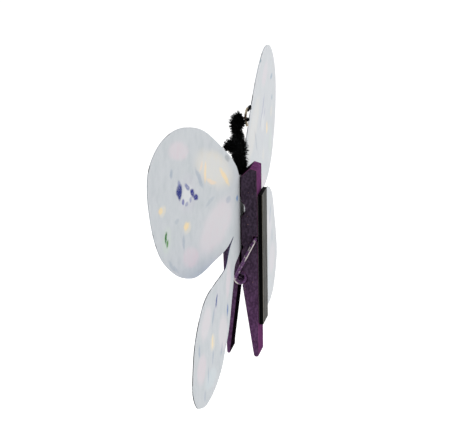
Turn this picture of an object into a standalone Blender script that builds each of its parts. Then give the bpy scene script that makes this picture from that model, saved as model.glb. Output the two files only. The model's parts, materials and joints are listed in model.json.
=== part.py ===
"""Butterfly clothes-peg magnet.

A spring clothes peg stands with its jaws up.  A flexible magnet strip is glued
to the outer face of its back leg, a butterfly cut from card is held between
its jaws, and a chenille stem folded in the jaws makes two antennae.

World frame: the origin is the middle of the magnet's free face, +Y points out
of that face, +Z runs up the peg and +X is one side of it.
"""
import math

import bmesh
import bpy
from mathutils import Matrix, Vector

MM = 0.001

# Peg, all heights measured up from its lower tip
PEG_LENGTH = 72.0 * MM
PEG_WIDTH = 9.3 * MM
LEG_THICKNESS = 6.05 * MM
COIL_HEIGHT = 30.0 * MM
BACK_INNER = 0.45 * MM              # inner face of the back leg, from the coil's axis
FRONT_INNER = 0.10 * MM             # the same for the front leg
FRONT_TILT = math.radians(1.5)      # the card and the stem hold the jaws open by this
GROOVE_RADIUS = 2.65 * MM           # seat for the coil, cut in both inner faces
BACK_HANDLE = (0.24 * MM, 3.86 * MM)     # inner face to the top and foot of the handle's taper
FRONT_HANDLE = (0.98 * MM, 4.60 * MM)
BACK_FOOT = -0.5 * MM               # height of each leg's tip
FRONT_FOOT = 0.6 * MM
BACK_TIP_RADIUS = 0.95 * MM
FRONT_TIP_RADIUS = 0.65 * MM
SMALL_NOTCH = (42.0 * MM, 0.7 * MM, 1.2 * MM)    # height, depth, radius
LARGE_NOTCH = (56.6 * MM, 1.5 * MM, 4.16 * MM)
MOUTH_HEIGHT = 69.0 * MM            # where the lead-in bevel of the jaws starts
MOUTH_DEPTH = 3.5 * MM
SHOULDER_DROP = 0.7 * MM
ARM_GROOVE_HEIGHT = 45.3 * MM       # outer groove that the spring's arm lies in
ARM_GROOVE_SIZE = 2.0 * MM
ARM_GROOVE_DEPTH = 1.8 * MM

# Torsion spring
WIRE_DIAMETER = 1.35 * MM
COIL_MEAN_RADIUS = 1.85 * MM
COIL_TURNS = 4                      # whole turns, before the arms take their angle off
COIL_STEPS = 20                     # points in one turn
ARM_SIDE_GAP = 0.08 * MM
ARM_SEAT = 0.8 * MM                 # wire's centre below the outer face
ARM_BEND = 1.0 * MM
ARM_STUB = 1.2 * MM                 # the arm stops this far inside the other side face
HALF_GAP = 0.3 * MM                 # along the wire, where the two halves of the coil meet

# Magnet strip and its adhesive
MAGNET_LENGTH = 50.0 * MM
MAGNET_WIDTH = 9.8 * MM
MAGNET_THICKNESS = 1.5 * MM
MAGNET_FOOT = 12.4 * MM
ADHESIVE_THICKNESS = 0.15 * MM
BOND_GAP = 0.1 * MM

# Card butterfly
CARD_THICKNESS = 0.3 * MM
CARD_PLANE = -0.15 * MM             # middle of the card, from the coil's axis
CREASE_X = 5.0 * MM                 # fold beside the jaws
CREASE_GAP = 0.15 * MM              # each side of the fold
WAIST_FOOT = 41.0 * MM
WAIST_TOP = 68.5 * MM
LOBE_SPLIT = 48.5 * MM              # height where the lobes of one side divide
SPLIT_GAP = 0.3 * MM
RIGHT_UPPER_BEND = math.radians(17.5)
RIGHT_LOWER_BEND = math.radians(4.0)
LEFT_UPPER_BEND = math.radians(0.2)
LEFT_LOWER_BEND = 0.0

# Lobe outlines: distance from the middle of the card, height, in millimetres
RIGHT_UPPER_LOBE = (
    (5.4, 70.2), (9.0, 75.6), (15.0, 81.4), (31.0, 93.7), (43.0, 98.6), (54.0, 100.1), (64.6, 97.6),
    (71.8, 91.3), (73.4, 83.0), (71.8, 73.3), (68.2, 62.9), (62.6, 54.0), (52.6, 46.0), (42.0, 41.8),
    (34.0, 41.5), (26.0, 43.1), (18.0, 45.7), (12.0, 48.65))
RIGHT_LOWER_LOBE = (
    (12.0, 48.0), (20.0, 42.8), (28.0, 40.8), (40.0, 40.3), (52.8, 39.5), (61.4, 35.4), (69.2, 26.8),
    (72.5, 15.5), (72.2, 9.0), (67.4, 3.0), (60.8, 0.3), (54.0, -0.7), (44.6, 0.8), (36.8, 3.5),
    (31.9, 6.0), (27.8, 10.4), (23.8, 14.8), (21.0, 19.5), (18.0, 26.1), (14.8, 32.2), (12.1, 36.7),
    (8.5, 38.8))
LEFT_UPPER_LOBE = (
    (5.4, 70.5), (9.0, 76.2), (15.0, 82.5), (31.0, 95.4), (43.0, 100.4), (54.0, 101.4), (63.5, 98.4),
    (70.0, 91.5), (72.6, 83.0), (71.8, 74.0), (69.4, 65.5), (64.6, 57.8), (59.4, 53.4), (53.2, 50.4),
    (44.0, 48.6), (34.0, 47.1), (26.0, 46.7), (18.0, 47.2), (12.0, 48.65))
LEFT_LOWER_LOBE = (
    (12.0, 48.0), (20.0, 44.4), (30.0, 44.0), (41.0, 45.4), (51.6, 46.8), (60.0, 42.7), (64.0, 37.8),
    (67.4, 30.2), (70.0, 23.0), (71.6, 16.5), (71.2, 12.2), (66.8, 5.6), (61.6, 1.4), (54.0, -0.4),
    (44.0, 0.4), (36.0, 3.0), (30.0, 6.0), (26.0, 9.7), (22.6, 14.4), (20.2, 19.3), (17.6, 26.1),
    (14.6, 32.2), (12.0, 36.7), (8.6, 38.8))
LOWER_ROOT = 40.0 * MM              # foot of the lower lobe's root, at the fold
OUTLINE_STEPS = 3                   # points between two outline points

# Chenille stem
ANCHOR_WIDTH = 7.4 * MM
ANCHOR_GAP = 0.12 * MM
CROWN_TOP = 71.9 * MM
CORE_RADIUS = 0.42 * MM
BORE_RADIUS = 0.62 * MM
RIGHT_BASE = Vector((2.1, -0.6, 73.1)) * MM
LEFT_BASE = Vector((-2.1, -0.7, 73.1)) * MM
# Antenna routes: side, depth, height and the pile's radius, in millimetres
RIGHT_ROUTE = ((2.1, -0.6, 73.1, 1.5), (2.6, -0.9, 76.2, 1.6), (3.5, -1.4, 79.2, 1.9),
               (5.3, -2.5, 81.0, 2.2), (6.6, -3.3, 80.6, 2.1), (6.9, -3.6, 79.8, 1.5))
RIGHT_CORE_END = ((7.0, -3.8, 79.5),)
LEFT_ROUTE = ((-2.1, -0.7, 73.1, 1.7), (-4.2, -1.4, 76.4, 2.6), (-6.2, -2.3, 79.4, 2.4),
              (-8.2, -3.2, 82.2, 1.8), (-9.9, -3.6, 84.5, 2.4), (-11.2, -3.2, 86.2, 2.4),
              (-11.7, -2.2, 86.6, 1.7))
LEFT_CORE_END = ((-11.8, -1.7, 86.4), (-11.9, -1.15, 86.0))
TIP_WIRE = ((-12.0, 0.3, 90.4), (-12.0, -0.3, 89.0), (-12.0, -0.6, 87.2), (-12.0, -0.7, 85.5),
            (-12.0, -0.5, 84.2), (-12.0, -0.1, 82.9))
TIP_WIRE_RADIUS = 0.35 * MM

MAGNET_FACE = BACK_INNER + LEG_THICKNESS + 2 * BOND_GAP + ADHESIVE_THICKNESS + MAGNET_THICKNESS
ORIGIN = Vector((0.0, MAGNET_FACE, MAGNET_FOOT + MAGNET_LENGTH / 2))
COIL = Vector((0.0, 0.0, COIL_HEIGHT)) - ORIGIN


def paint(name, colour, roughness, metallic=0.0):
    material = bpy.data.materials.new(name)
    material.use_nodes = True
    shader = material.node_tree.nodes["Principled BSDF"]
    shader.inputs["Base Color"].default_value = (*colour, 1.0)
    shader.inputs["Roughness"].default_value = roughness
    shader.inputs["Metallic"].default_value = metallic
    material.diffuse_color = (*colour, 1.0)
    return material


def place(name, shape, material, location, rotation=(0.0, 0.0, 0.0), smooth=False):
    """Turn a bmesh into a named object whose origin is at location."""
    bmesh.ops.recalc_face_normals(shape, faces=shape.faces)
    mesh = bpy.data.meshes.new(name)
    shape.to_mesh(mesh)
    shape.free()
    if smooth:
        mesh.shade_smooth()
        mesh.set_sharp_from_angle(angle=math.radians(40))
    mesh.materials.append(material)
    item = bpy.data.objects.new(name, mesh)
    item.location = location
    item.rotation_euler = rotation
    bpy.context.scene.collection.objects.link(item)
    return item


def arc(centre, radius, start, end, steps):
    """Points of an arc in a side view, angles in radians from +Y."""
    points = []
    for step in range(steps + 1):
        angle = start + (end - start) * step / steps
        points.append((centre[0] + radius * math.cos(angle), centre[1] + radius * math.sin(angle)))
    return points


def extrude_side(profile, width):
    """Closed solid: a side-view profile (Y, Z) given a width across X."""
    shape = bmesh.new()
    corners = [shape.verts.new((-width / 2, y, z)) for y, z in profile]
    face = shape.faces.new(corners)
    grown = bmesh.ops.extrude_face_region(shape, geom=[face])
    moved = [item for item in grown["geom"] if isinstance(item, bmesh.types.BMVert)]
    bmesh.ops.translate(shape, verts=moved, vec=(width, 0.0, 0.0))
    return shape


def notch(inner, height, depth, radius, steps):
    """Round notch cut into an inner face, listed from its lower to its upper edge."""
    centre = inner + depth - radius
    half = math.acos((inner - centre) / radius)
    return arc((centre, height - COIL_HEIGHT), radius, -half, half, steps)


def leg_profile(inner, handle, tip_height, tip_radius):
    """Side view of a back leg round the coil's axis, inner face at Y = inner."""
    outer = inner + LEG_THICKNESS
    foot = tip_height - COIL_HEIGHT
    top = PEG_LENGTH - COIL_HEIGHT + 0.3 * MM
    step = inner + handle[0]
    low_angle = -math.acos(step / GROOVE_RADIUS)
    high_angle = math.acos(inner / GROOVE_RADIUS)
    arm = ARM_GROOVE_HEIGHT - COIL_HEIGHT
    tip = (outer - tip_radius, foot + tip_radius)
    profile = arc(tip, tip_radius, 0.0, -math.pi, 6)
    profile.append((inner + handle[1], foot + 2.7 * MM))
    profile.append((step, -3.1 * MM))
    profile += arc((0.0, 0.0), GROOVE_RADIUS, low_angle, high_angle, 14)
    profile += notch(inner, *SMALL_NOTCH, 6)
    profile += notch(inner, *LARGE_NOTCH, 8)
    profile.append((inner, MOUTH_HEIGHT - COIL_HEIGHT))
    profile.append((inner + MOUTH_DEPTH, top))
    profile.append((outer - 0.1 * MM, top - SHOULDER_DROP))
    profile.append((outer, top - SHOULDER_DROP - 0.2 * MM))
    profile.append((outer, arm + ARM_GROOVE_SIZE / 2))
    profile.append((outer - ARM_GROOVE_DEPTH, arm + ARM_GROOVE_SIZE / 2))
    profile.append((outer - ARM_GROOVE_DEPTH, arm - ARM_GROOVE_SIZE / 2))
    profile.append((outer, arm - ARM_GROOVE_SIZE / 2))
    return profile


def make_legs(material):
    back_side = leg_profile(BACK_INNER, BACK_HANDLE, BACK_FOOT, BACK_TIP_RADIUS)
    back = extrude_side(back_side, PEG_WIDTH)
    place("back_leg", back, material, COIL)
    front_side = leg_profile(FRONT_INNER, FRONT_HANDLE, FRONT_FOOT, FRONT_TIP_RADIUS)
    front = extrude_side([(-y, z) for y, z in front_side], PEG_WIDTH)
    place("front_leg", front, material, COIL, (FRONT_TILT, 0.0, 0.0))


def sweep(points, radii, sides, bore=None):
    """Tube along points; with a bore it is a sleeve, open from end to end."""
    shape = bmesh.new()
    tangents = []
    for index, point in enumerate(points):
        before = points[max(index - 1, 0)]
        after = points[min(index + 1, len(points) - 1)]
        tangents.append((after - before).normalized())
    normal = tangents[0].orthogonal().normalized()
    outer_rings = []
    inner_rings = []
    for point, tangent, radius in zip(points, tangents, radii):
        normal = (normal - tangent * normal.dot(tangent)).normalized()
        binormal = tangent.cross(normal)
        ring = []
        hole = []
        for side in range(sides):
            angle = 2 * math.pi * side / sides
            spoke = normal * math.cos(angle) + binormal * math.sin(angle)
            ring.append(shape.verts.new(point + spoke * radius))
            if bore:
                hole.append(shape.verts.new(point + spoke * bore))
        outer_rings.append(ring)
        inner_rings.append(hole)
    for rings in (outer_rings, inner_rings) if bore else (outer_rings,):
        for low, high in zip(rings, rings[1:]):
            for side in range(sides):
                follow = (side + 1) % sides
                shape.faces.new((low[side], low[follow], high[follow], high[side]))
    for end in (0, -1):
        if not bore:
            shape.faces.new(outer_rings[end])
            continue
        for side in range(sides):
            follow = (side + 1) % sides
            shape.faces.new((outer_rings[end][side], outer_rings[end][follow],
                             inner_rings[end][follow], inner_rings[end][side]))
    return shape


def spring_half(inner, side):
    """Half of the coil and one arm: side +1 is the back leg's, on the +X side."""
    seat_y = inner + LEG_THICKNESS - ARM_SEAT
    seat_z = ARM_GROOVE_HEIGHT - COIL_HEIGHT
    reach = math.hypot(seat_y, seat_z)
    start = math.atan2(seat_z, seat_y) + math.acos(COIL_MEAN_RADIUS / reach)
    arm_x = PEG_WIDTH / 2 + ARM_SIDE_GAP + WIRE_DIAMETER / 2
    middle = math.radians(90) + math.pi * COIL_TURNS
    end = middle - HALF_GAP / 2 / COIL_MEAN_RADIUS
    steps = round(COIL_STEPS * (end - start) / (2 * math.pi))
    points = []
    for step in range(steps + 1):
        angle = end + (start - end) * step / steps
        x = arm_x * (middle - angle) / (middle - start)
        points.append(Vector((x, COIL_MEAN_RADIUS * math.cos(angle), COIL_MEAN_RADIUS * math.sin(angle))))
    seat = Vector((arm_x, seat_y, seat_z))
    run = (seat - points[-1]).normalized()
    bend = seat - run * ARM_BEND
    points.append(points[-1].lerp(bend, 0.5))
    for step in range(5):
        angle = math.radians(90) * step / 4
        offset = Vector((math.cos(angle) - 1.0, 0.0, 0.0)) + run * math.sin(angle)
        points.append(bend + offset * ARM_BEND)
    points.append(Vector((-PEG_WIDTH / 2 + ARM_STUB, seat_y, seat_z)))
    shape = sweep(points, [WIRE_DIAMETER / 2] * len(points), 8)
    if side < 0:
        bmesh.ops.rotate(shape, verts=shape.verts, matrix=Matrix.Rotation(math.pi, 3, "Z"))
    return shape


def make_spring(material):
    back = spring_half(BACK_INNER, 1)
    place("spring_back_half", back, material, COIL, smooth=True)
    front = spring_half(FRONT_INNER, -1)
    place("spring_front_half", front, material, COIL, (FRONT_TILT, 0.0, 0.0), smooth=True)


def slab(size, inset):
    """Block centred on its origin, its long edges eased by inset."""
    shape = bmesh.new()
    bmesh.ops.create_cube(shape, size=1.0)
    bmesh.ops.scale(shape, verts=shape.verts, vec=size)
    if inset:
        long_edges = [e for e in shape.edges if abs((e.verts[0].co - e.verts[1].co).y) < inset]
        bmesh.ops.bevel(shape, geom=long_edges, offset=inset, segments=1, profile=0.5,
                        affect="EDGES", material=-1)
    return shape


def make_magnet(strip, film):
    leg_face = BACK_INNER + LEG_THICKNESS - MAGNET_FACE
    film_y = leg_face + BOND_GAP + ADHESIVE_THICKNESS / 2
    adhesive = slab((PEG_WIDTH - 0.6 * MM, ADHESIVE_THICKNESS, MAGNET_LENGTH - 1.0 * MM), 0.0)
    place("magnet_adhesive", adhesive, film, (0.0, film_y, 0.0))
    magnet = slab((MAGNET_WIDTH, MAGNET_THICKNESS, MAGNET_LENGTH), 0.08 * MM)
    place("magnet_strip", magnet, strip, (0.0, -MAGNET_THICKNESS / 2, 0.0))


def smooth_run(points, steps):
    """Catmull-Rom curve through an open run of points of any dimension."""
    run = [Vector(point) for point in points]
    run = [run[0] * 2 - run[1]] + run + [run[-1] * 2 - run[-2]]
    curve = []
    for a, b, c, d in zip(run, run[1:], run[2:], run[3:]):
        for step in range(steps):
            t = step / steps
            curve.append(0.5 * (2 * b + (c - a) * t + (2 * a - 5 * b + 4 * c - d) * t * t
                                + (3 * b - a - 3 * c + d) * t * t * t))
    curve.append(run[-2])
    return curve


def card_plate(outline):
    """Closed plate of card, outline in (X, Z), middle of its thickness on Y = 0."""
    shape = bmesh.new()
    corners = [shape.verts.new((x, -CARD_THICKNESS / 2, z)) for x, z in outline]
    face = shape.faces.new(corners)
    grown = bmesh.ops.extrude_face_region(shape, geom=[face])
    moved = [item for item in grown["geom"] if isinstance(item, bmesh.types.BMVert)]
    bmesh.ops.translate(shape, verts=moved, vec=(0.0, CARD_THICKNESS, 0.0))
    return shape


def make_card(material):
    middle_z = COIL_HEIGHT
    half = CREASE_X - CREASE_GAP
    waist = [(-half, WAIST_FOOT), (half, WAIST_FOOT), (half, WAIST_TOP), (-half, WAIST_TOP)]
    plate = card_plate([(x, z - middle_z) for x, z in waist])
    place("card_waist", plate, material, COIL + Vector((0.0, CARD_PLANE, 0.0)))
    root = CREASE_X + CREASE_GAP
    above = [(root, LOBE_SPLIT + SPLIT_GAP / 2), (root, WAIST_TOP + 1.0 * MM)]
    below = [(root, LOWER_ROOT), (root, LOBE_SPLIT - SPLIT_GAP / 2)]
    lobes = (("right_upper_wing", above, RIGHT_UPPER_LOBE, [], 1, RIGHT_UPPER_BEND),
             ("right_lower_wing", [], RIGHT_LOWER_LOBE, below, 1, RIGHT_LOWER_BEND),
             ("left_upper_wing", above, LEFT_UPPER_LOBE, [], -1, LEFT_UPPER_BEND),
             ("left_lower_wing", [], LEFT_LOWER_LOBE, below, -1, LEFT_LOWER_BEND))
    for name, first, lobe, last, side, bend in lobes:
        outline = first + [(u * MM, z * MM) for u, z in smooth_run(lobe, OUTLINE_STEPS)] + last
        plate = card_plate([(side * (u - CREASE_X), z - middle_z) for u, z in outline])
        crease = COIL + Vector((side * CREASE_X, CARD_PLANE, 0.0))
        place(name, plate, material, crease, (0.0, 0.0, -side * bend))


def make_anchor(material):
    """Pile squeezed in the jaws: it fills the large notch and swells in the mouth."""
    height, depth, radius = LARGE_NOTCH
    centre = BACK_INNER + depth - radius
    inside = radius - ANCHOR_GAP
    front = CARD_PLANE + CARD_THICKNESS / 2 + ANCHOR_GAP
    back = BACK_INNER - ANCHOR_GAP
    low = -math.acos((front - centre) / inside)
    high = math.acos((back - centre) / inside)
    profile = arc((centre, height - COIL_HEIGHT), inside, low, high, 10)
    mouth = MOUTH_HEIGHT - COIL_HEIGHT
    crown = CROWN_TOP - COIL_HEIGHT
    profile += [(back, mouth), (1.5 * MM, mouth + 1.4 * MM), (1.7 * MM, crown - 0.4 * MM),
                (1.3 * MM, crown), (-2.2 * MM, crown), (-2.6 * MM, crown - 0.4 * MM),
                (-2.3 * MM, mouth + 2.0 * MM), (-0.8 * MM, mouth + 0.2 * MM), (front, mouth - 0.1 * MM)]
    place("chenille_anchor", extrude_side(profile, ANCHOR_WIDTH), material, COIL)


def make_antenna(name, route, base, pile, metal, core_tail):
    """Pile sleeve round a wire core, both on one joint at the foot of the antenna."""
    smooth = smooth_run(route, 3)
    path = []
    radii = []
    for side, depth, height, radius in smooth:
        path.append(Vector((side, depth, height)) * MM - base)
        radii.append(radius * MM)
    location = base - ORIGIN
    place(name + "_pile", sweep(path, radii, 12, bore=BORE_RADIUS), pile, location, smooth=True)
    tail = [Vector(point) * MM - base for point in core_tail]
    core = path + tail
    place(name + "_core", sweep(core, [CORE_RADIUS] * len(core), 8), metal, location, smooth=True)


def make_antennae(pile, metal):
    make_antenna("right_antenna", RIGHT_ROUTE, RIGHT_BASE, pile, metal, RIGHT_CORE_END)
    make_antenna("left_antenna", LEFT_ROUTE, LEFT_BASE, pile, metal, LEFT_CORE_END)
    ends = [point * MM - LEFT_BASE for point in smooth_run(TIP_WIRE, 2)]
    wires = sweep(ends, [TIP_WIRE_RADIUS] * len(ends), 8)
    place("left_antenna_wire_ends", wires, metal, LEFT_BASE - ORIGIN, smooth=True)


def main():
    for item in list(bpy.data.objects):
        bpy.data.objects.remove(item, do_unlink=True)
    make_legs(paint("purple_painted_wood", (0.068, 0.027, 0.076), 0.5))
    make_spring(paint("painted_spring_steel", (0.12, 0.05, 0.15), 0.35, 0.6))
    make_magnet(paint("flexible_magnet", (0.11, 0.11, 0.105), 0.6),
                paint("clear_adhesive", (0.5, 0.48, 0.42), 0.4))
    make_card(paint("white_card", (0.62, 0.65, 0.70), 0.75))
    pile = paint("black_chenille", (0.006, 0.006, 0.007), 0.95)
    wire = paint("chenille_wire", (0.35, 0.30, 0.24), 0.35, 0.9)
    make_anchor(pile)
    make_antennae(pile, wire)


main()
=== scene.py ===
"""A butterfly clothes-peg magnet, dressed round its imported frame.

The frame's origin is the middle of the magnet's free face.  +Y points out of
that face, +Z runs up the peg to its jaws and +X is the side of the more folded
wings.  Lengths are in metres.
"""
import json
import math
import random

import bmesh
import bpy
from mathutils import Matrix, Vector, noise


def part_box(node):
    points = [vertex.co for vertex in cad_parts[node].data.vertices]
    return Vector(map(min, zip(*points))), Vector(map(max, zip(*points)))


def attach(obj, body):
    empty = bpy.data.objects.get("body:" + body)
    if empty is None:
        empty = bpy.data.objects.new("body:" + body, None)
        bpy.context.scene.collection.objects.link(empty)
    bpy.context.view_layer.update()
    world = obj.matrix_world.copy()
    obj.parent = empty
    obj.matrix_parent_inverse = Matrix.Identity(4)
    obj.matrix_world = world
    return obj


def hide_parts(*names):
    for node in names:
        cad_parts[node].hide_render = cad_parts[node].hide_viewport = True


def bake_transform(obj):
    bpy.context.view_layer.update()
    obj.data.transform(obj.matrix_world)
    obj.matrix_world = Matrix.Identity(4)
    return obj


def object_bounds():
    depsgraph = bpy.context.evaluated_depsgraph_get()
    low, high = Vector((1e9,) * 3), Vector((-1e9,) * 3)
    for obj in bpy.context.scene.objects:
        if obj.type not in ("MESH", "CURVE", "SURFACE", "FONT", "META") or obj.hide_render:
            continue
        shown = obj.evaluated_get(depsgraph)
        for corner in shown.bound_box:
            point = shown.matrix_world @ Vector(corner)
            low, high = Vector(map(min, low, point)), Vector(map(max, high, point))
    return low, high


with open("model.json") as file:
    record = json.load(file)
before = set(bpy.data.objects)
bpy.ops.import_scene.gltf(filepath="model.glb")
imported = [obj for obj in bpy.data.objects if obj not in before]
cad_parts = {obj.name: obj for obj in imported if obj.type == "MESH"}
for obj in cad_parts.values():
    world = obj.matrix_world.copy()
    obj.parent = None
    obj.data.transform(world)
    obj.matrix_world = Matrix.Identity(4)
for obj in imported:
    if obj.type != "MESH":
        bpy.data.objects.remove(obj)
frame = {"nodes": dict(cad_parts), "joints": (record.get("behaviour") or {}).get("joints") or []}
cad_low, cad_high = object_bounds()

# Where it is seen from: beside the peg, a little behind it and above, through a long lens.
# The lens looks just over the jaws, and the camera is held a shade off level.
seen_turn = math.radians(10.94)
seen_rise = math.radians(18.62)
seen_roll = math.radians(-0.78)
seen_from = 1.5
focal_length = 327.5
aim_below = Vector((0.0, -0.00835, -0.0014))
aim_left = 0.00647
aim_up = 0.01591

camera_back = Vector((math.cos(seen_rise) * math.cos(seen_turn),
                      math.cos(seen_rise) * math.sin(seen_turn), math.sin(seen_rise)))
level_right = Vector((-math.sin(seen_turn), math.cos(seen_turn), 0.0))
level_up = camera_back.cross(level_right)
camera_right = level_right * math.cos(seen_roll) + level_up * math.sin(seen_roll)
camera_up = camera_back.cross(camera_right)
lens = bpy.data.cameras.new("camera")
lens.lens = focal_length
lens.sensor_width = 36.0
lens.clip_end = 20.0
camera = bpy.data.objects.new("camera", lens)
turned = Matrix((camera_right, camera_up, camera_back)).transposed()
stand_at = aim_below - camera_right * aim_left + camera_up * aim_up + camera_back * seen_from
camera.matrix_world = Matrix.Translation(stand_at) @ turned.to_4x4()
bpy.context.scene.collection.objects.link(camera)
bpy.context.scene.camera = camera


# The studio: a white floor well below the object, a white sky, a broad lamp behind the magnet,
# one overhead, and two weaker ones in front, where they light the side that the drawing is on.
floor_drop = 0.30
floor_half = 6.0
floor_glow = 0.30
sky_glow = 0.62
white = (1.0, 1.0, 1.0, 1.0)
lamps = (                       # name, place, size, watts
    ("lamp_behind", (-0.35, 1.1, 0.9), 0.9, 10.0), ("lamp_above", (-0.2, 0.1, 1.4), 0.8, 6.0),
    ("lamp_front", (0.6, -1.2, 0.5), 1.0, 3.0), ("lamp_fill", (-0.3, -1.2, -0.1), 1.0, 7.0))


class Value:
    """A shader socket that adds, scales and subtracts like a number."""

    def __init__(self, finish, socket):
        self.finish = finish
        self.socket = socket

    def maths(self, operation, *others):
        sockets = {0: self}
        for index, other in enumerate(others):
            sockets[index + 1] = other
        return self.finish.node("Math", {"operation": operation}, sockets)

    def __add__(self, other):
        return self.maths("ADD", other)

    __radd__ = __add__

    def __mul__(self, other):
        return self.maths("MULTIPLY", other)

    __rmul__ = __mul__

    def __sub__(self, other):
        return self.maths("SUBTRACT", other)

    def __rsub__(self, other):
        return self.maths("MULTIPLY_ADD", -1.0, other)

    def between(self, low, high):
        """0 below low, 1 above high, and smooth from one to the other."""
        settings = {"interpolation_type": "SMOOTHSTEP"}
        return self.finish.node("MapRange", settings, {0: self, 1: low, 2: high})

    def most(self, other):
        return self.maths("MAXIMUM", other)


class Finish:
    """One material, and the nodes that colour it."""

    def __init__(self, name, constants):
        self.material = bpy.data.materials.new(name)
        self.material.use_nodes = True
        self.tree = self.material.node_tree
        self.shader = self.tree.nodes["Principled BSDF"]
        for key, value in constants.items():
            self.set(key, value)

    def node(self, kind, settings=None, sockets=None, out=0):
        """Add a node, its sockets set or linked, and give one of its outputs."""
        item = self.tree.nodes.new("ShaderNode" + kind)
        for key, value in (settings or {}).items():
            setattr(item, key, value)
        for key, value in (sockets or {}).items():
            if isinstance(value, Value):
                self.tree.links.new(value.socket, item.inputs[key])
            else:
                item.inputs[key].default_value = value
        return Value(self, item.outputs[out])

    def set(self, socket, value):
        if isinstance(value, Value):
            self.tree.links.new(value.socket, self.shader.inputs[socket])
        else:
            self.shader.inputs[socket].default_value = value

    def blend_colours(self, share, first, second):
        """The first colour where share is 0, the second where it is 1."""
        return self.node("Mix", {"data_type": "RGBA"}, {0: share, 6: first, 7: second}, out=2)

    def cloud(self, place, scale, detail=3.0, stretch=(1.0, 1.0, 1.0), roughness=0.5):
        """Soft noise from about 0.25 to 0.75, with scale features to the unit of place."""
        laid = self.node("Mapping", {}, {"Vector": place, "Scale": stretch})
        sockets = {"Vector": laid, "Scale": scale, "Detail": detail, "Roughness": roughness}
        return self.node("TexNoise", {}, sockets)

    def bump(self, height, distance, strength=1.0):
        sockets = {"Height": height, "Distance": distance, "Strength": strength}
        raised = self.node("Bump", {}, sockets)
        self.set("Normal", raised)


def lay(name, shape, *materials):
    """An object at the origin made from a bmesh whose points are where they belong."""
    mesh = bpy.data.meshes.new(name)
    shape.to_mesh(mesh)
    shape.free()
    for material in materials:
        mesh.materials.append(material)
    item = bpy.data.objects.new(name, mesh)
    bpy.context.scene.collection.objects.link(item)
    return item


floor_shape = bmesh.new()
bmesh.ops.create_grid(floor_shape, x_segments=1, y_segments=1, size=floor_half)
bmesh.ops.translate(floor_shape, verts=floor_shape.verts, vec=(0.0, 0.0, cad_low.z - floor_drop))
floor_paint = Finish("floor_white", {"Base Color": (0.95, 0.95, 0.95, 1.0), "Roughness": 0.9,
                                     "Emission Color": white, "Emission Strength": floor_glow})
lay("floor", floor_shape, floor_paint.material)

sky = bpy.data.worlds.new("sky")
sky.use_nodes = True
sky.node_tree.nodes["Background"].inputs["Color"].default_value = white
sky.node_tree.nodes["Background"].inputs["Strength"].default_value = sky_glow
bpy.context.scene.world = sky
bpy.context.scene.view_settings.view_transform = "Standard"

for lamp_name, lamp_place, lamp_size, lamp_power in lamps:
    lamp = bpy.data.lights.new(lamp_name, "AREA")
    lamp.size = lamp_size
    lamp.energy = lamp_power
    lamp_stand = bpy.data.objects.new(lamp_name, lamp)
    lamp_stand.location = lamp_place
    lamp_stand.rotation_euler = (-Vector(lamp_place)).to_track_quat("-Z", "Y").to_euler()
    bpy.context.scene.collection.objects.link(lamp_stand)


# The peg's legs are sawn from a light wood, notched on the inside, and painted purple by hand.
# The paint is thin and dark on the sawn sides and richer on the planed faces, tips and jaws.
leg_edge = 0.00025
flat_area = 4e-6                # square metres; the smaller faces are the eased edges
wood_bare = (0.30, 0.17, 0.13, 1.0)
side_upper_paint = ((0.023, 0.016, 0.026, 1.0), (0.074, 0.052, 0.082, 1.0))
side_lower_paint = ((0.036, 0.014, 0.039, 1.0), (0.114, 0.050, 0.124, 1.0))
face_paint = ((0.056, 0.016, 0.052, 1.0), (0.146, 0.044, 0.134, 1.0))
# painted highlight for the eased edges between the sides and the planed faces
edge_painted_highlight = (0.190, 0.060, 0.140, 1.0)
# painted shade: near-black for the inner faces, where the legs face each other across the jaws
inner_painted_shade = (0.006, 0.003, 0.006, 1.0)


def eased_copy(node, name, edge, material):
    """A copy of a CAD piece with its sharp edges rounded, standing for that piece."""
    shape = bmesh.new()
    shape.from_mesh(frame["nodes"][node].data)
    bmesh.ops.remove_doubles(shape, verts=shape.verts, dist=1e-6)
    bmesh.ops.dissolve_limit(shape, angle_limit=math.radians(1.0), verts=shape.verts,
                             edges=shape.edges)
    sharp = [item for item in shape.edges if item.calc_face_angle(0.0) > math.radians(30)]
    bmesh.ops.bevel(shape, geom=sharp, offset=edge, segments=3, profile=0.5, affect="EDGES",
                    clamp_overlap=True, material=-1)
    for face in shape.faces:
        face.smooth = face.calc_area() < flat_area
    item = lay(name, shape, material)
    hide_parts(node)
    return item


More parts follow.
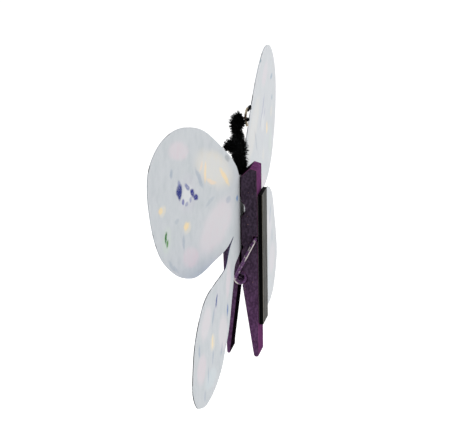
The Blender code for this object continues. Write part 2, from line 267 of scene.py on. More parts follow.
def painted_wood(name, inside):
    """Purple paint, the inner face near-black as painted shade; inside is 1 where it looks along
    +Y, -1 along -Y.
    """
    paint = Finish(name, {"Specular IOR Level": 0.0})
    place = paint.node("TexCoord", out=3)
    height = paint.node("SeparateXYZ", {}, {0: place}, out=2)
    facing = paint.node("TexCoord", out=1)
    facing_x = paint.node("SeparateXYZ", {}, {0: facing}, out=0).maths("ABSOLUTE")
    facing_y = paint.node("SeparateXYZ", {}, {0: facing}, out=1) * inside
    fleck = paint.cloud(place, 1250.0, 3.0, (1.0, 1.0, 0.7)).between(0.36, 0.66)
    patch = paint.cloud(place, 240.0, 3.0).between(0.30, 0.70)
    grain = paint.cloud(place, 850.0, 4.0, (1.0, 1.0, 0.05), 0.6)
    lower = 1.0 - height.between(-0.034, 0.016)
    film = fleck * 0.60 + patch * 0.25 + lower * 0.15
    upper_side = paint.blend_colours(film, *side_upper_paint)
    lower_side = paint.blend_colours(film, *side_lower_paint)
    on_side = paint.blend_colours(lower, upper_side, lower_side)
    streak = grain.between(0.33, 0.68)
    on_face = paint.blend_colours(streak * 0.7 + fleck * 0.3, *face_paint)
    # painted highlight: the eased edges are coloured lighter, as where they catch the light
    eased = facing_x.between(0.30, 0.60) * (1.0 - facing_x.between(0.85, 0.97))
    on_face = paint.blend_colours(eased, on_face, edge_painted_highlight)
    colour = paint.blend_colours(facing_x.between(0.70, 0.97), on_face, on_side)
    # painted shade: the inner face, between the legs, is coloured near-black
    colour = paint.blend_colours(facing_y.between(0.40, 0.75), colour, inner_painted_shade)
    chip = paint.cloud(place, 650.0, 2.0).between(0.70, 0.74)
    paint.set("Base Color", paint.blend_colours(chip * 0.4, colour, wood_bare))
    paint.set("Roughness", 0.66 - streak * 0.14)
    paint.bump(grain * 0.7 + fleck * 0.3, 0.00008, 0.6)
    return paint.material


for leg, inside in (("back_leg", -1.0), ("front_leg", 1.0)):
    leg_piece = eased_copy(leg, leg + "_painted", leg_edge, painted_wood(leg + "_purple", inside))
    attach(leg_piece, leg)


# The torsion spring is one drawn steel wire: a coil seated between the legs, and two arms that
# run up the legs' sides, turn into their outer grooves and cross them.  It was painted with the
# legs, and the paint is rubbed back to the steel in patches along the wire's outer side; the thin
# pale lines along the arms and round the coil's lower rim are rubbed steel and painted highlight.
wire_radius = 0.000675
coil_radius = 0.00185
whole_turns = 4
turn_points = 48
arm_bend = 0.0010
wire_paint = ((0.030, 0.010, 0.038, 1.0), (0.140, 0.050, 0.165, 1.0))
# pale steel colour for rubbed paint, and for the painted highlight on the arms and the coil's rim
rubbed_steel_and_highlight = (0.60, 0.56, 0.52, 1.0)
coil_middle = Vector(next(j for j in frame["joints"] if j["name"] == "clip_open")["pos_m"])
back_low, back_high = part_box("spring_back_half")
front_low, front_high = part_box("spring_front_half")
arm_side = back_high.x - wire_radius


def round_wire(name, points, radius, material, sides=6):
    """A mesh of round wire through points, its ends closed."""
    curve = bpy.data.curves.new(name, "CURVE")
    curve.dimensions = "3D"
    curve.bevel_depth = radius
    curve.bevel_resolution = sides
    curve.use_fill_caps = True
    spline = curve.splines.new("POLY")
    spline.points.add(len(points) - 1)
    for knot, point in zip(spline.points, points):
        knot.co = (*point, 1.0)
    drawn = bpy.data.objects.new(name + "_drawn", curve)
    mesh = bpy.data.meshes.new_from_object(drawn)
    bpy.data.objects.remove(drawn)
    mesh.shade_smooth()
    mesh.set_sharp_from_angle(angle=math.radians(50))
    mesh.materials.append(material)
    item = bpy.data.objects.new(name, mesh)
    bpy.context.scene.collection.objects.link(item)
    return item


def arm_start(seat):
    """Angle where the wire leaves the coil for seat, a point (across, up) from its axis."""
    return math.atan2(seat.y, seat.x) + math.acos(coil_radius / seat.length)


def coil_point(x, angle):
    return Vector((x, coil_radius * math.cos(angle), coil_radius * math.sin(angle)))


def arm_path(seat, far_end):
    """From the coil's end up the side, round a bend and across the leg to x = far_end."""
    foot = coil_point(arm_side, arm_start(seat))
    corner = Vector((arm_side, seat.x, seat.y))
    run = (corner - foot).normalized()
    bend_from = corner - run * arm_bend
    path = [foot.lerp(bend_from, share / 8) for share in range(8)]
    for share in range(9):
        angle = math.radians(90) * share / 8
        aside = Vector((math.cos(angle) - 1.0, 0.0, 0.0))
        path.append(bend_from + (aside + run * math.sin(angle)) * arm_bend)
    path.append(Vector((far_end, seat.x, seat.y)))
    return path


def worn_and_highlit_wire_paint(name):
    paint = Finish(name, {"Specular IOR Level": 0.3})
    place = paint.node("TexCoord", out=3)
    out_x = paint.node("SeparateXYZ", {}, {0: place}, out=0).maths("ABSOLUTE")
    across = paint.node("SeparateXYZ", {}, {0: place}, out=1) - coil_middle.y
    height = paint.node("SeparateXYZ", {}, {0: place}, out=2) - coil_middle.z
    facing = paint.node("TexCoord", out=1)
    facing_x = paint.node("SeparateXYZ", {}, {0: facing}, out=0).maths("ABSOLUTE")
    facing_y = paint.node("SeparateXYZ", {}, {0: facing}, out=1)
    facing_z = paint.node("SeparateXYZ", {}, {0: facing}, out=2)
    fine = paint.cloud(place, 2600.0, 3.0)
    patch = paint.cloud(place, 500.0, 2.0)
    # painted highlight: the arms' thin pale line follows the way the wire's surface faces, rubbed
    # steel and highlight together
    beside = facing_x * 0.80 + facing_y * 0.52 - facing_z * 0.28
    up_arm = height.between(0.0064, 0.0080) * (1.0 - height.between(0.0136, 0.0146))
    arm_rub_and_highlight = (beside + fine * 0.10).between(0.985, 1.02) * up_arm
    # the coil's pale lower rim is rubbed steel and painted highlight together
    below = across * -0.75 - height * 0.66
    coil_rub_and_highlight = below.between(0.0016, 0.0021) * (1.0 - height.between(0.0006, 0.0012))
    coil_rub_and_highlight = coil_rub_and_highlight * (facing_x + fine * 0.2).between(0.35, 0.55)
    top_rub = out_x.between(0.0044, 0.0052) * (patch + fine * 0.3).between(0.72, 0.78) * 0.5
    rubbed_and_highlit = (arm_rub_and_highlight.most(coil_rub_and_highlight)).most(top_rub)
    film = paint.blend_colours(fine.between(0.35, 0.65), *wire_paint)
    paint.set("Base Color", paint.blend_colours(rubbed_and_highlit, film, rubbed_steel_and_highlight))
    paint.set("Metallic", rubbed_and_highlit * 0.5)
    paint.set("Roughness", 0.42 - rubbed_and_highlit * 0.08)
    paint.bump(fine + rubbed_and_highlit * -0.6, 0.00004, 0.5)
    return paint.material


spring_paint = worn_and_highlit_wire_paint("worn_purple_wire_painted_highlight")
back_seat = Vector((back_high.y - wire_radius - coil_middle.y,
                    back_high.z - wire_radius - coil_middle.z))
front_seat = Vector((coil_middle.y - front_low.y - wire_radius,
                     front_high.z - wire_radius - coil_middle.z))
first_angle = arm_start(back_seat)
last_angle = math.radians(180) - arm_start(front_seat) + 2 * math.pi * whole_turns
steps = round(turn_points * (last_angle - first_angle) / (2 * math.pi))
coil_path = []
for step in range(steps + 1):
    share = step / steps
    coil_path.append(coil_middle + coil_point(arm_side * (1.0 - 2.0 * share),
                                              first_angle + (last_angle - first_angle) * share))
coil = round_wire("spring_coil", coil_path, wire_radius, spring_paint)
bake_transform(coil)

half_turn = Matrix.Rotation(math.pi, 3, "Z")
back_path = [coil_middle + point for point in arm_path(back_seat, back_low.x)]
front_path = [coil_middle + half_turn @ point for point in arm_path(front_seat, -front_high.x)]
for arm_name, path, leg in (("spring_back_arm", back_path, "back_leg"),
                            ("spring_front_arm", front_path, "front_leg")):
    arm = round_wire(arm_name, path, wire_radius, spring_paint)
    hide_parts("spring_back_half" if leg == "back_leg" else "spring_front_half")
    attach(arm, leg)


# The magnet is a strip of ferrite rubber, rolled with fine lines along its length and cut off
# square.  A film of adhesive holds it to the back leg.
magnet_edge = 0.00012
ferrite_grey = ((0.026, 0.026, 0.025, 1.0), (0.104, 0.103, 0.097, 1.0))
ferrite_rim = (0.13, 0.118, 0.092, 1.0)
ferrite_cut = (0.0012, 0.0012, 0.0015, 1.0)
glue_colours = ((0.020, 0.018, 0.018, 1.0), (0.09, 0.08, 0.075, 1.0))


def ferrite_rubber(name):
    rubber = Finish(name, {"Specular IOR Level": 0.02})
    place = rubber.node("TexCoord", out=3)
    x = rubber.node("SeparateXYZ", {}, {0: place}, out=0)
    facing = rubber.node("SeparateXYZ", {}, {0: rubber.node("NewGeometry", out=1)}, out=1)
    outer = facing.between(0.55, 0.9)
    lines = rubber.cloud(place, 1500.0, 3.0, (1.0, 0.2, 0.02))
    dust = rubber.cloud(place, 900.0, 4.0, (1.0, 1.0, 0.3))
    rolled = (lines * 0.7 + dust * 0.3).between(0.34, 0.66)
    grey = rubber.blend_colours(rolled, *ferrite_grey)
    rim = x.between(0.0036, 0.0046) * 0.7
    face = rubber.blend_colours(rim, grey, ferrite_rim)
    rubber.set("Base Color", rubber.blend_colours(outer, ferrite_cut, face))
    rubber.set("Roughness", 0.66 - rolled * 0.14)
    rubber.bump(lines, 0.00006, 0.5)
    return rubber.material


def adhesive_film(name):
    film = Finish(name, {"Roughness": 0.35})
    place = film.node("TexCoord", out=3)
    smear = film.cloud(place, 700.0, 3.0)
    film.set("Base Color", film.blend_colours(smear, *glue_colours))
    return film.material


magnet = eased_copy("magnet_strip", "magnet_rubber", magnet_edge, ferrite_rubber("ferrite_rubber"))
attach(magnet, "back_leg")
adhesive = frame["nodes"]["magnet_adhesive"]
adhesive.data.materials.clear()
adhesive.data.materials.append(adhesive_film("adhesive_film"))


# The butterfly is one sheet of white card, cut freehand with scissors.  Its front is filled in
# with felt pens, which show faintly through the back and soak through in a few places, and its
# cut edge is stained dark.  The jaws hold its waist, and the wings bend away beside them.
card_thick = 0.0003
peg_foot = Vector((0.0, coil_middle.y, coil_middle.z - 0.030))
card_y = coil_middle.y - 0.00015
fold_start = 0.00485
fold_length = 0.0030
mm = 0.001
ripple_height = 0.35 * mm
ripple_scale = 0.035            # bumps to the millimetre
slit_root = (9.0, 48.5)
part_from, part_by = 4.0, 20.0  # how far from the slit's root two lobes begin to part, and have
bends = {"right": (17.5, 4.0), "left": (0.2, 0.0)}      # upper and lower lobe, degrees
fold_cuts = (4.85, 5.4, 6.0, 6.6, 7.2, 7.8, 9.0, 10.5)
cut_step = 3.0
# Outlines of each side's upper and lower lobe: distance from the card's middle and height above
# the peg's foot, in millimetres; and the line of the slit between them.
lobes = {
    "right": (
        ((5.4, 70.2), (9.0, 75.6), (15.0, 81.4), (31.0, 93.7), (43.0, 98.6), (54.0, 100.1),
         (64.6, 97.6), (71.8, 91.3), (73.4, 83.0), (71.8, 73.3), (68.2, 62.9), (62.6, 54.0),
         (52.6, 46.0), (42.0, 41.8), (34.0, 41.5), (26.0, 43.1), (18.0, 45.7), (12.0, 48.65)),
        ((12.0, 48.0), (20.0, 42.8), (28.0, 40.8), (40.0, 40.3), (52.8, 39.5), (61.4, 35.4),
         (69.2, 26.8), (72.5, 15.5), (72.2, 9.0), (67.4, 3.0), (60.8, 0.3), (54.0, -0.7),
         (44.6, 0.8), (36.8, 3.5), (31.9, 6.0), (27.8, 10.4), (23.8, 14.8), (21.0, 19.5),
         (18.0, 26.1), (14.8, 32.2), (12.1, 36.7), (8.5, 38.8))),
    "left": (
        ((5.4, 70.5), (9.0, 76.2), (15.0, 82.5), (31.0, 95.4), (43.0, 100.4), (54.0, 101.4),
         (63.5, 98.4), (70.0, 91.5), (72.6, 83.0), (71.8, 74.0), (69.4, 65.5), (64.6, 57.8),
         (59.4, 53.4), (53.2, 50.4), (44.0, 48.6), (34.0, 47.1), (26.0, 46.7), (18.0, 47.2),
         (12.0, 48.65)),
        ((12.0, 48.0), (20.0, 44.4), (30.0, 44.0), (41.0, 45.4), (51.6, 46.8), (60.0, 42.7),
         (64.0, 37.8), (67.4, 30.2), (70.0, 23.0), (71.6, 16.5), (71.2, 12.2), (66.8, 5.6),
         (61.6, 1.4), (54.0, -0.4), (44.0, 0.4), (36.0, 3.0), (30.0, 6.0), (26.0, 9.7),
         (22.6, 14.4), (20.2, 19.3), (17.6, 26.1), (14.6, 32.2), (12.0, 36.7), (8.6, 38.8)))}
slit_lines = {
    "right": ((0.0, 48.3), (12.0, 48.3), (20.0, 43.8), (28.0, 41.6), (34.0, 41.0), (40.0, 40.9),
              (46.0, 41.3), (54.0, 43.5), (80.0, 54.0)),
    "left": ((0.0, 48.3), (12.0, 48.3), (20.0, 45.7), (30.0, 45.3), (41.0, 46.7), (51.6, 47.9),
             (60.0, 49.0), (80.0, 52.0))}
outline_steps = 6               # points to each knot of an outline


def freehand(points):
    """A smooth run through points, as scissors follow it."""
    run = [Vector(point) for point in points]
    run = [run[0] * 2 - run[1]] + run + [run[-1] * 2 - run[-2]]
    curve = []
    for a, b, c, d in zip(run, run[1:], run[2:], run[3:]):
        for step in range(outline_steps):
            t = step / outline_steps
            curve.append(0.5 * (2 * b + (c - a) * t + (2 * a - 5 * b + 4 * c - d) * t * t
                                + (3 * b - a - 3 * c + d) * t * t * t))
    curve.append(run[-2])
    return curve


def smooth_share(value, low, high):
    share = min(max((value - low) / (high - low), 0.0), 1.0)
    return share * share * (3.0 - 2.0 * share)


def slit_height(side_name, u):
    """Height of the slit between a side's two lobes, u from the card's middle."""
    line = slit_lines[side_name]
    for (u0, z0), (u1, z1) in zip(line, line[1:]):
        if u <= u1:
            break
    return z0 + (z1 - z0) * (u - u0) / (u1 - u0)


def bent(side_name, u, z, upper_bend, lower_bend):
    """Where a point of the flat card, u from its middle and z up, lies once the wing is bent."""
    side = 1 if side_name == "right" else -1
    own = upper_bend if z > slit_height(side_name, u) else lower_bend
    root = (upper_bend + lower_bend) / 2
    freed = smooth_share(math.hypot(u - slit_root[0], z - slit_root[1]), part_from, part_by)
    bend = math.radians(root + (own - root) * freed)
    run = max(u * mm - fold_start, 0.0)
    if run < 1e-9 or abs(bend) < 1e-4:
        x, y = u * mm, 0.0
    elif run < fold_length:
        turn = bend * run / fold_length
        x = fold_start + fold_length / bend * math.sin(turn)
        y = -fold_length / bend * (1.0 - math.cos(turn))
    else:
        x = fold_start + fold_length / bend * math.sin(bend) + (run - fold_length) * math.cos(bend)
        y = -fold_length / bend * (1.0 - math.cos(bend)) - (run - fold_length) * math.sin(bend)
    ripple = ripple_height * smooth_share(u, 12.0, 40.0)
    y += ripple * noise.noise(Vector((side * u * ripple_scale, z * ripple_scale, 3.7)))
    return Vector((side * x, card_y + y, peg_foot.z + z * mm))


def wing_sheet(name, side_name, upper_bend, lower_bend, materials):
    """One side of the butterfly: cut flat, marked out for its drawing, bent, and thickened."""
    side = 1 if side_name == "right" else -1
    upper_lobe, lower_lobe = lobes[side_name]
    outline = [Vector((0.0, 41.0)), Vector((4.2, 40.6))]
    outline += list(reversed(freehand(lower_lobe)))
    outline += list(reversed(freehand(upper_lobe)))
    outline += [Vector((4.2, 69.2)), Vector((0.0, 68.5))]
    shape = bmesh.new()
    corners = [shape.verts.new((point.x, 0.0, point.y)) for point in outline]
    shape.faces.new(corners)
    cuts = [("x", u) for u in fold_cuts]
    cuts += [("x", 12.0 + cut_step * step) for step in range(21)]
    cuts += [("z", cut_step * step) for step in range(34)]
    for way, place in cuts:
        everything = shape.verts[:] + shape.edges[:] + shape.faces[:]
        point = (place, 0.0, 0.0) if way == "x" else (0.0, 0.0, place)
        across = (1.0, 0.0, 0.0) if way == "x" else (0.0, 0.0, 1.0)
        bmesh.ops.bisect_plane(shape, geom=everything, dist=1e-5, plane_co=point, plane_no=across)
    pen_map = shape.loops.layers.uv.new("pen_map")
    for face in shape.faces:
        face.smooth = True
        for loop in face.loops:
            loop[pen_map].uv = (side * loop.vert.co.x / 100.0, loop.vert.co.z / 100.0)
    for vert in shape.verts:
        vert.co = bent(side_name, vert.co.x, vert.co.z, upper_bend, lower_bend)
    shape.normal_update()
    if sum(face.normal.y for face in shape.faces) < 0.0:
        bmesh.ops.reverse_faces(shape, faces=shape.faces)
    for edge in shape.edges:
        edge.smooth = not edge.is_boundary
    item = lay(name, shape, *materials)
    thickness = item.modifiers.new("card", "SOLIDIFY")
    thickness.thickness = card_thick
    thickness.offset = 0.0
    thickness.use_even_offset = True
    thickness.material_offset = 1
    thickness.material_offset_rim = 2
    return item


# Shapes that the felt pens filled in: middle, half sizes, turn in degrees, colour.
pen_shapes = (
    ((50.3, 91.8), (6.9, 3.3), 20, (0.80, 0.25, 0.45)),
    ((24.8, 77.9), (15.0, 5.7), 30, (0.95, 0.70, 0.22)),
    ((24.8, 77.9), (11.0, 3.8), 30, (0.98, 0.84, 0.50)),
    ((24.0, 56.2), (13.0, 7.2), -26, (0.85, 0.50, 0.62)),
    ((42.8, 50.1), (6.2, 3.6), 20, (0.82, 0.22, 0.42)),
    ((44.8, 74.5), (7.6, 6.4), 45, (0.02, 0.03, 0.22)),
    ((44.8, 74.5), (3.4, 3.3), 0, (0.92, 0.92, 0.90)),
    ((62.8, 73.3), (2.4, 2.0), 0, (0.90, 0.65, 0.10)),
    ((44.8, 61.9), (2.4, 2.1), 0, (0.90, 0.65, 0.10)),
    ((60.0, 61.5), (3.0, 4.8), 10, (0.10, 0.45, 0.12)),
    ((22.0, 35.5), (6.8, 3.2), -62, (0.80, 0.30, 0.48)),
    ((38.8, 33.5), (5.4, 3.4), -35, (0.02, 0.04, 0.25)),
    ((54.0, 30.0), (7.4, 5.2), -20, (0.85, 0.55, 0.65)),
    ((45.4, 19.5), (3.2, 3.0), 0, (0.92, 0.66, 0.12)),
    ((61.0, 15.0), (6.0, 5.4), 0, (0.80, 0.28, 0.45)),
    ((31.0, 18.5), (5.6, 6.6), -30, (0.85, 0.50, 0.60)),
    ((49.0, 7.0), (7.4, 3.4), 4, (0.15, 0.50, 0.62)))
pen_outline = 0.8               # how wide the dark line round each shape is
line_ink = (0.015, 0.02, 0.05, 1.0)
ground_blues = ((0.13, 0.28, 0.62, 1.0), (0.34, 0.58, 0.88, 1.0))
ground_teal = (0.36, 0.62, 0.74, 1.0)
ghost_blue = (0.26, 0.31, 0.34, 1.0)
ghost_teal = (0.27, 0.33, 0.35, 1.0)
paper = (0.538, 0.552, 0.570, 1.0)
# Places where the ink has soaked through to the back, and one painted shadow: the same, with
# how strongly it shows.  Each is on one side only, and that is the left where its x is below 0.
soaked_and_shaded = (
    ((50.6, 77.4), (1.9, 2.3), 4, (0.008, 0.018, 0.16), 1.0),
    ((50.0, 75.8), (1.2, 2.2), 10, (0.008, 0.018, 0.16), 1.0),
    ((50.6, 80.0), (0.9, 1.4), -10, (0.10, 0.12, 0.30), 0.6),
    ((44.8, 77.0), (2.1, 0.9), 45, (0.05, 0.07, 0.26), 0.70),
    ((41.2, 73.6), (2.0, 1.1), 45, (0.010, 0.014, 0.18), 1.0),
    ((38.5, 71.2), (1.7, 1.0), 45, (0.010, 0.014, 0.18), 1.0),
    ((47.8, 72.4), (0.8, 1.0), 0, (0.05, 0.06, 0.28), 0.75),
    ((45.4, 71.0), (0.9, 0.8), 0, (0.08, 0.10, 0.30), 0.55),
    ((42.4, 71.6), (0.8, 0.9), 0, (0.08, 0.10, 0.30), 0.50),
    ((64.2, 73.6), (1.7, 1.2), 0, (0.80, 0.58, 0.24), 0.60),
    ((45.6, 62.7), (1.7, 1.5), 0, (0.80, 0.58, 0.24), 0.60),
    ((60.4, 62.7), (0.75, 2.2), 4, (0.016, 0.13, 0.012), 1.0),
    ((59.5, 60.2), (0.6, 1.5), 22, (0.05, 0.20, 0.03), 0.9),
    ((31.4, 78.4), (0.9, 3.6), 6, (0.85, 0.60, 0.28), 0.50),
    ((34.4, 81.6), (0.8, 2.0), 30, (0.85, 0.58, 0.34), 0.36),
    ((27.0, 73.9), (4.2, 0.8), 26, (0.85, 0.58, 0.32), 0.38),
    ((17.0, 73.0), (5.2, 1.0), 50, (0.85, 0.60, 0.24), 0.56),
    ((36.0, 77.8), (5.0, 0.9), 60, (0.20, 0.26, 0.36), 0.42),
    ((7.4, 61.6), (0.8, 1.4), 0, (0.06, 0.18, 0.42), 0.8),
    ((14.4, 63.3), (1.6, 1.2), 0, (0.16, 0.24, 0.36), 0.32),
    ((47.8, 57.0), (0.9, 3.0), 0, (0.18, 0.24, 0.34), 0.40),
    ((55.7, 85.0), (1.0, 1.8), 0, (0.18, 0.24, 0.34), 0.45),
    ((52.5, 66.5), (1.6, 1.0), 0, (0.22, 0.28, 0.36), 0.30),
    ((28.0, 66.5), (3.6, 0.9), -20, (0.22, 0.28, 0.36), 0.28),
    ((56.0, 50.6), (4.4, 0.8), 42, (0.22, 0.28, 0.36), 0.35),
    # painted shadow: grey on the near upper wing's back, under the near antenna's tip
    ((14.8, 79.2), (2.2, 1.2), 44, (0.08, 0.09, 0.11), 0.34),
    ((39.2, 33.6), (1.0, 2.4), 30, (0.02, 0.05, 0.20), 0.9),
    ((44.0, 28.9), (0.9, 3.0), 26, (0.16, 0.22, 0.34), 0.45),
    ((24.6, 24.6), (1.0, 2.2), 12, (0.05, 0.12, 0.34), 0.75),
    ((45.5, 20.0), (1.0, 2.3), 8, (0.85, 0.64, 0.30), 0.50),
    ((45.6, 14.0), (0.8, 2.4), 8, (0.14, 0.20, 0.32), 0.45),
    ((63.8, 22.6), (1.2, 2.2), 0, (0.14, 0.22, 0.36), 0.40),
    ((52.0, 10.0), (0.8, 3.2), 14, (0.16, 0.22, 0.34), 0.35),
    ((33.0, 12.5), (0.8, 2.6), 30, (0.16, 0.22, 0.34), 0.35),
    ((57.0, 3.5), (1.0, 2.0), 0, (0.16, 0.22, 0.34), 0.30),
    ((-44.9, 80.8), (0.8, 4.6), 44, (0.14, 0.15, 0.34), 0.42),
    ((-47.5, 76.9), (0.7, 2.6), 44, (0.18, 0.18, 0.36), 0.38),
    ((-63.4, 86.6), (2.3, 0.8), -8, (0.10, 0.22, 0.34), 0.50),
    ((-64.1, 78.7), (1.2, 1.0), 0, (0.14, 0.24, 0.34), 0.42),
    ((-53.1, 69.9), (1.4, 2.2), 0, (0.85, 0.62, 0.26), 0.60),
    ((-40.5, 76.4), (0.7, 2.8), 44, (0.18, 0.20, 0.34), 0.32),
    ((-30.0, 72.0), (0.9, 5.0), -25, (0.20, 0.24, 0.34), 0.30),
    ((-58.0, 34.0), (0.9, 3.4), 10, (0.14, 0.22, 0.34), 0.40),
    ((-62.0, 24.0), (0.9, 2.4), 0, (0.20, 0.24, 0.34), 0.35),
    ((-41.2, 99.6), (1.4, 0.9), 0, (0.03, 0.14, 0.20), 0.8))


def pen_card(name, front):
    """Card with its felt-pen drawing: full colour on the front, its ghost on the back."""
    card = Finish(name, {"Roughness": 0.78, "Specular IOR Level": 0.3})
    laid = card.node("UVMap", {"uv_map": "pen_map"})
    waver = card.node("TexNoise", {}, {"Vector": laid, "Scale": 22.0, "Detail": 2.0}, out=1)
    shift = card.node("VectorMath", {"operation": "SUBTRACT"}, {0: waver, 1: (0.5, 0.5, 0.5)})
    shift = card.node("VectorMath", {"operation": "SCALE"}, {0: shift, 3: 0.022})
    loose = card.node("VectorMath", {"operation": "ADD"}, {0: laid, 1: shift})
    both = card.node("VectorMath", {"operation": "ABSOLUTE"}, {0: loose})

    def oval(place, middle, half, turn, edge):
        """1 inside an oval of the drawing, 0 outside it."""
        sockets = {"Vector": place, "Location": (middle[0] / 100, middle[1] / 100, 0.0),
                   "Rotation": (0.0, 0.0, math.radians(turn)),
                   "Scale": (half[0] / 100, half[1] / 100, 1000.0)}
        centred = card.node("Mapping", {"vector_type": "TEXTURE"}, sockets)
        away = card.node("VectorMath", {"operation": "LENGTH"}, {0: centred}, out=1)
        return 1.0 - away.between(1.0 - edge, 1.0 + edge)

    scribble = card.cloud(loose, 60.0, 4.0, (0.35, 1.0, 1.0), 0.65)
    wash = card.cloud(loose, 9.0, 4.0, (1.0, 1.0, 1.0), 0.6)
    if front:
        blue, teal = card.blend_colours(scribble.between(0.30, 0.72), *ground_blues), ground_teal
    else:
        blue, teal = ghost_blue, ghost_teal
    colour = card.blend_colours(wash.between(0.50, 0.62) * 0.7, blue, teal)
    for middle, half, turn, ink in pen_shapes:
        if front:
            ring = oval(both, middle, (half[0] + pen_outline, half[1] + pen_outline), turn, 0.04)
            colour = card.blend_colours(ring, colour, line_ink)
            filled = oval(both, middle, half, turn, 0.05)
        else:
            filled = oval(both, middle, half, turn, 0.30)
            ink = [0.35 * part + 0.29 for part in ink]
        colour = card.blend_colours(filled, colour, (*ink, 1.0))
    if front:
        stroke = card.cloud(loose, 150.0, 3.0, (0.25, 1.0, 1.0), 0.6).between(0.30, 0.75)
        colour = card.blend_colours(stroke * 0.35, colour, (0.86, 0.88, 0.90, 1.0))
        card.set("Base Color", colour)
        card.set("Roughness", 0.62 + stroke * 0.2)
    else:
        streaks = card.cloud(loose, 34.0, 5.0, (1.0, 0.45, 1.0), 0.62)
        show = 0.17 + streaks.between(0.35, 0.75) * 0.17 + wash.between(0.40, 0.70) * 0.06
        # the drawing shows through the back more faintly on the left wings
        right_side_share = card.node("SeparateXYZ", {}, {0: laid}, out=0).between(-0.10, 0.02)
        show = show * (0.55 + right_side_share * 0.45)
        colour = card.blend_colours(show, paper, colour)
        grit = 0.70 + 0.30 * card.cloud(loose, 180.0, 2.0).between(0.35, 0.55)
        for middle, half, turn, ink, strength in soaked_and_shaded:
            spot = oval(loose, middle, half, turn, 0.35)
            colour = card.blend_colours(spot * grit * strength, colour, (*ink, 1.0))
        card.set("Base Color", colour)
    fibres = card.cloud(laid, 260.0, 4.0, (1.0, 1.0, 1.0), 0.7)
    card.bump(fibres, 0.00003, 0.5)
    return card.material


def stained_edge(name):
    edge = Finish(name, {"Roughness": 0.8, "Specular IOR Level": 0.1})
    place = edge.node("TexCoord", out=3)
    out_x = edge.node("SeparateXYZ", {}, {0: place}, out=0).maths("ABSOLUTE")
    height = edge.node("SeparateXYZ", {}, {0: place}, out=2)
    ink = edge.cloud(place, 180.0, 3.0)
    bare = (ink + height.between(0.000, 0.012) * 0.22).between(0.56, 0.70)
    stain = edge.blend_colours(bare, (0.012, 0.014, 0.024, 1.0), (0.36, 0.38, 0.41, 1.0))
    by_slit = (1.0 - out_x.between(0.026, 0.034)) * (1.0 - height.between(0.010, 0.013))
    edge.set("Base Color", edge.blend_colours(by_slit * 0.8, stain, (0.012, 0.012, 0.075, 1.0)))
    return edge.material


card_back = pen_card("card_back", front=False)
card_front = pen_card("card_front", front=True)
card_edge = stained_edge("card_edge")
for side, side_name in ((1, "right"), (-1, "left")):
    sheet = wing_sheet(side_name + "_wing_card", side_name, *bends[side_name],
                       (card_back, card_front, card_edge))
    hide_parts(side_name + "_upper_wing", side_name + "_lower_wing")
    if side > 0:
        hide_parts("card_waist")
    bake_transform(sheet)


# The chenille stem is a twisted pair of thin wires that grips a dense cut pile of black nylon.
# It is folded in the jaws: the pile is crushed in their notch and swells again in their mouth,
# and the two free ends stand up as antennae.
core_radius = 0.00030
fibre_root = 0.00017
fibre_tip = 0.00008
heart_share = 0.55              # of the pile's radius, packed too tightly to see into
twist_pitch = 2.2 * mm
batch = 80                      # fibres poured in at a time, which is quicker than one by one


def black_pile(name):
    pile = Finish(name, {"Specular IOR Level": 0.05})
    place = pile.node("TexCoord", out=3)
    tuft = pile.cloud(place, 1400.0, 3.0)
    glint = pile.cloud(place, 2200.0, 2.0).between(0.66, 0.72)
    black = pile.blend_colours(tuft.between(0.35, 0.75), (0.0008, 0.0009, 0.001, 1.0),
                               (0.004, 0.0045, 0.005, 1.0))
    pile.set("Base Color", pile.blend_colours(glint * 0.6, black, (0.10, 0.11, 0.12, 1.0)))
    pile.set("Roughness", 0.5 + tuft * 0.3)
    return pile.material


def along(points, share):
    """Place, radius and direction at a share of the way along a run of (place, radius)."""
    spot = share * (len(points) - 1)
    index = min(int(spot), len(points) - 2)
    part = spot - index
    low, high = points[index], points[index + 1]
    radius = low[1] + (high[1] - low[1]) * part
    return low[0].lerp(high[0], part), radius, (high[0] - low[0]).normalized()


def pour(part, whole):
    """Add one bmesh to another, and hand back an empty one."""
    carrier = bpy.data.meshes.new("carrier")
    part.to_mesh(carrier)
    part.free()
    whole.from_mesh(carrier)
    bpy.data.meshes.remove(carrier)
    return bmesh.new()


def chenille(name, knots, count, seed, material):
    """Cut pile round a run of knots (x, across from the coil, height, radius, in millimetres)."""
    chance = random.Random(seed)
    run = [(Vector((k[0] * mm, peg_foot.y + k[1] * mm, peg_foot.z + k[2] * mm)), k[3] * mm)
           for k in freehand(knots)]
    heart = bmesh.new()
    mesh = round_wire(name + "_heart", [point for point, radius in run], core_radius, material).data
    heart.from_mesh(mesh)
    bpy.data.objects.remove(bpy.data.objects[name + "_heart"])
    for vert in heart.verts:
        near = min(run, key=lambda knot: (knot[0] - vert.co).length)
        vert.co = near[0] + (vert.co - near[0]) * (heart_share * near[1] / core_radius)
    length = sum((b[0] - a[0]).length for a, b in zip(run, run[1:]))
    tuft = bmesh.new()
    for index in range(count):
        if index % batch == batch - 1:
            tuft = pour(tuft, heart)
        share = chance.random()
        root, radius, way = along(run, share)
        side = way.orthogonal().normalized()
        twist = 2 * math.pi * share * length / twist_pitch + math.pi * (index % 2)
        twist += chance.gauss(0.0, 0.75)
        out = Matrix.Rotation(twist, 3, way) @ side
        out = (out + way * chance.gauss(0.0, 0.28)).normalized()
        reach = radius * (0.70 + 0.55 * chance.random() ** 1.4)
        middle = root + out * reach / 2
        stand = Matrix.Translation(middle) @ out.to_track_quat("Z", "Y").to_matrix().to_4x4()
        bmesh.ops.create_cone(tuft, cap_ends=True, segments=3, radius1=fibre_root,
                              radius2=fibre_tip, depth=reach, matrix=stand)
    pour(tuft, heart).free()
    return lay(name, heart, material)


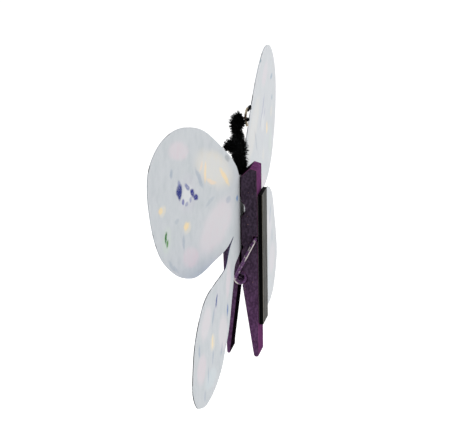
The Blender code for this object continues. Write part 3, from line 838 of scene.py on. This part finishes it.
def twisted_wire(name):
    """Dull tan wire, with painted shade across the far antenna's bare end at its middle height."""
    wire = Finish(name, {"Metallic": 0.7})
    place = wire.node("TexCoord", out=3)
    height = wire.node("SeparateXYZ", {}, {0: place}, out=2)
    dirt = wire.cloud(place, 1200.0, 3.0)
    # painted shade: dark brown across the middle of the bare end, where the pile shades it
    middle = 1.0 - (height - pile_shade_height).maths("ABSOLUTE").between(0.0008, 0.0022)
    colour = wire.blend_colours(dirt.between(0.35, 0.7), *bare_wire)
    wire.set("Base Color", wire.blend_colours(middle * 0.9, colour, wire_painted_shade))
    wire.set("Roughness", 0.35 + dirt * 0.3)
    return wire.material


bare_wire = ((0.30, 0.24, 0.16, 1.0), (0.62, 0.56, 0.44, 1.0))
# painted shade for the middle of the far antenna's bare end
wire_painted_shade = (0.065, 0.035, 0.022, 1.0)
pile_shade_height = 0.0490
pile_black = black_pile("black_pile")
wire_metal = twisted_wire("twisted_wire")

# Knots of the pile: x, across from the coil's axis, height above the peg's foot, radius, in mm.
antenna_knots = {
    "right": ((2.1, -0.6, 73.1, 1.9), (2.6, -0.9, 76.2, 2.0), (3.5, -1.4, 79.2, 2.2),
              (5.2, -2.2, 81.0, 2.6), (6.4, -2.8, 80.6, 2.5), (6.7, -3.0, 79.8, 1.8)),
    "left": ((-2.1, -0.7, 73.1, 2.1), (-4.2, -1.4, 76.4, 2.9), (-6.2, -2.3, 79.4, 2.7),
             (-8.2, -3.2, 82.2, 2.0), (-9.9, -3.5, 84.3, 2.7), (-11.2, -3.0, 85.7, 2.7),
             (-11.7, -2.1, 86.1, 2.3))}
for index, (side_name, knots) in enumerate(antenna_knots.items()):
    antenna = chenille(side_name + "_antenna_chenille", knots, 2700, 11 + index, pile_black)
    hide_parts(side_name + "_antenna_pile")
    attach(antenna, side_name + "_antenna")
    core = frame["nodes"][side_name + "_antenna_core"]
    core.data.materials.clear()
    core.data.materials.append(wire_metal)

# The far antenna's pile has worn off its tip: the bare pair of wires turns up there, and two
# shreds of pile still cling to it.
strand_radius = 0.00028
strand_offset = 0.00024
strand_pitch = 0.0016
strand_steps = 3
tip_knots = ((-12.0, 0.3, 90.0), (-12.0, -0.2, 88.9), (-12.0, -0.5, 87.3), (-12.0, -0.6, 85.7),
             (-12.0, -0.3, 84.3), (-12.0, 0.1, 83.1))
tip_line = [Vector((k[0] * mm, peg_foot.y + k[1] * mm, peg_foot.z + k[2] * mm))
            for k in freehand(tip_knots)]
for strand in (0, 1):
    wound = []
    travelled = 0.0
    for here, ahead in zip(tip_line, tip_line[1:]):
        way = (ahead - here).normalized()
        for step in range(strand_steps):
            turn = 2 * math.pi * travelled / strand_pitch + math.pi * strand
            out = Vector((math.cos(turn), math.sin(turn), 0.0))
            out = (out - way * out.dot(way)).normalized()
            wound.append(here.lerp(ahead, step / strand_steps) + out * strand_offset)
            travelled += (ahead - here).length / strand_steps
    strand_name = "left_antenna_bare_wire_%d" % (strand + 1)
    bare = round_wire(strand_name, wound, strand_radius, wire_metal, 3)
    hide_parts("left_antenna_wire_ends")
    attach(bare, "left_antenna")
shreds = (
    ("upper", ((-12.0, 1.3, 91.1, 0.4), (-12.0, 1.0, 90.2, 0.8), (-12.0, 0.5, 89.4, 0.7),
               (-12.0, 0.2, 89.0, 0.4)), 110),
    ("lower", ((-12.0, -0.5, 85.5, 0.4), (-12.0, 0.2, 85.7, 0.8), (-12.0, 0.8, 85.5, 0.6)), 90))
for index, (shred_name, knots, count) in enumerate(shreds):
    shred = chenille("left_antenna_shred_" + shred_name, knots, count, 31 + index, pile_black)
    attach(shred, "left_antenna")

mouth_knots = ((0.0, 0.25, 66.0, 0.4), (0.0, 0.1, 69.3, 1.1), (0.0, -0.3, 71.0, 2.4),
               (0.0, -0.5, 73.4, 2.7))
mouth = chenille("mouth_chenille", mouth_knots, 1500, 21, pile_black)
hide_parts("chenille_anchor")
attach(mouth, "back_leg")
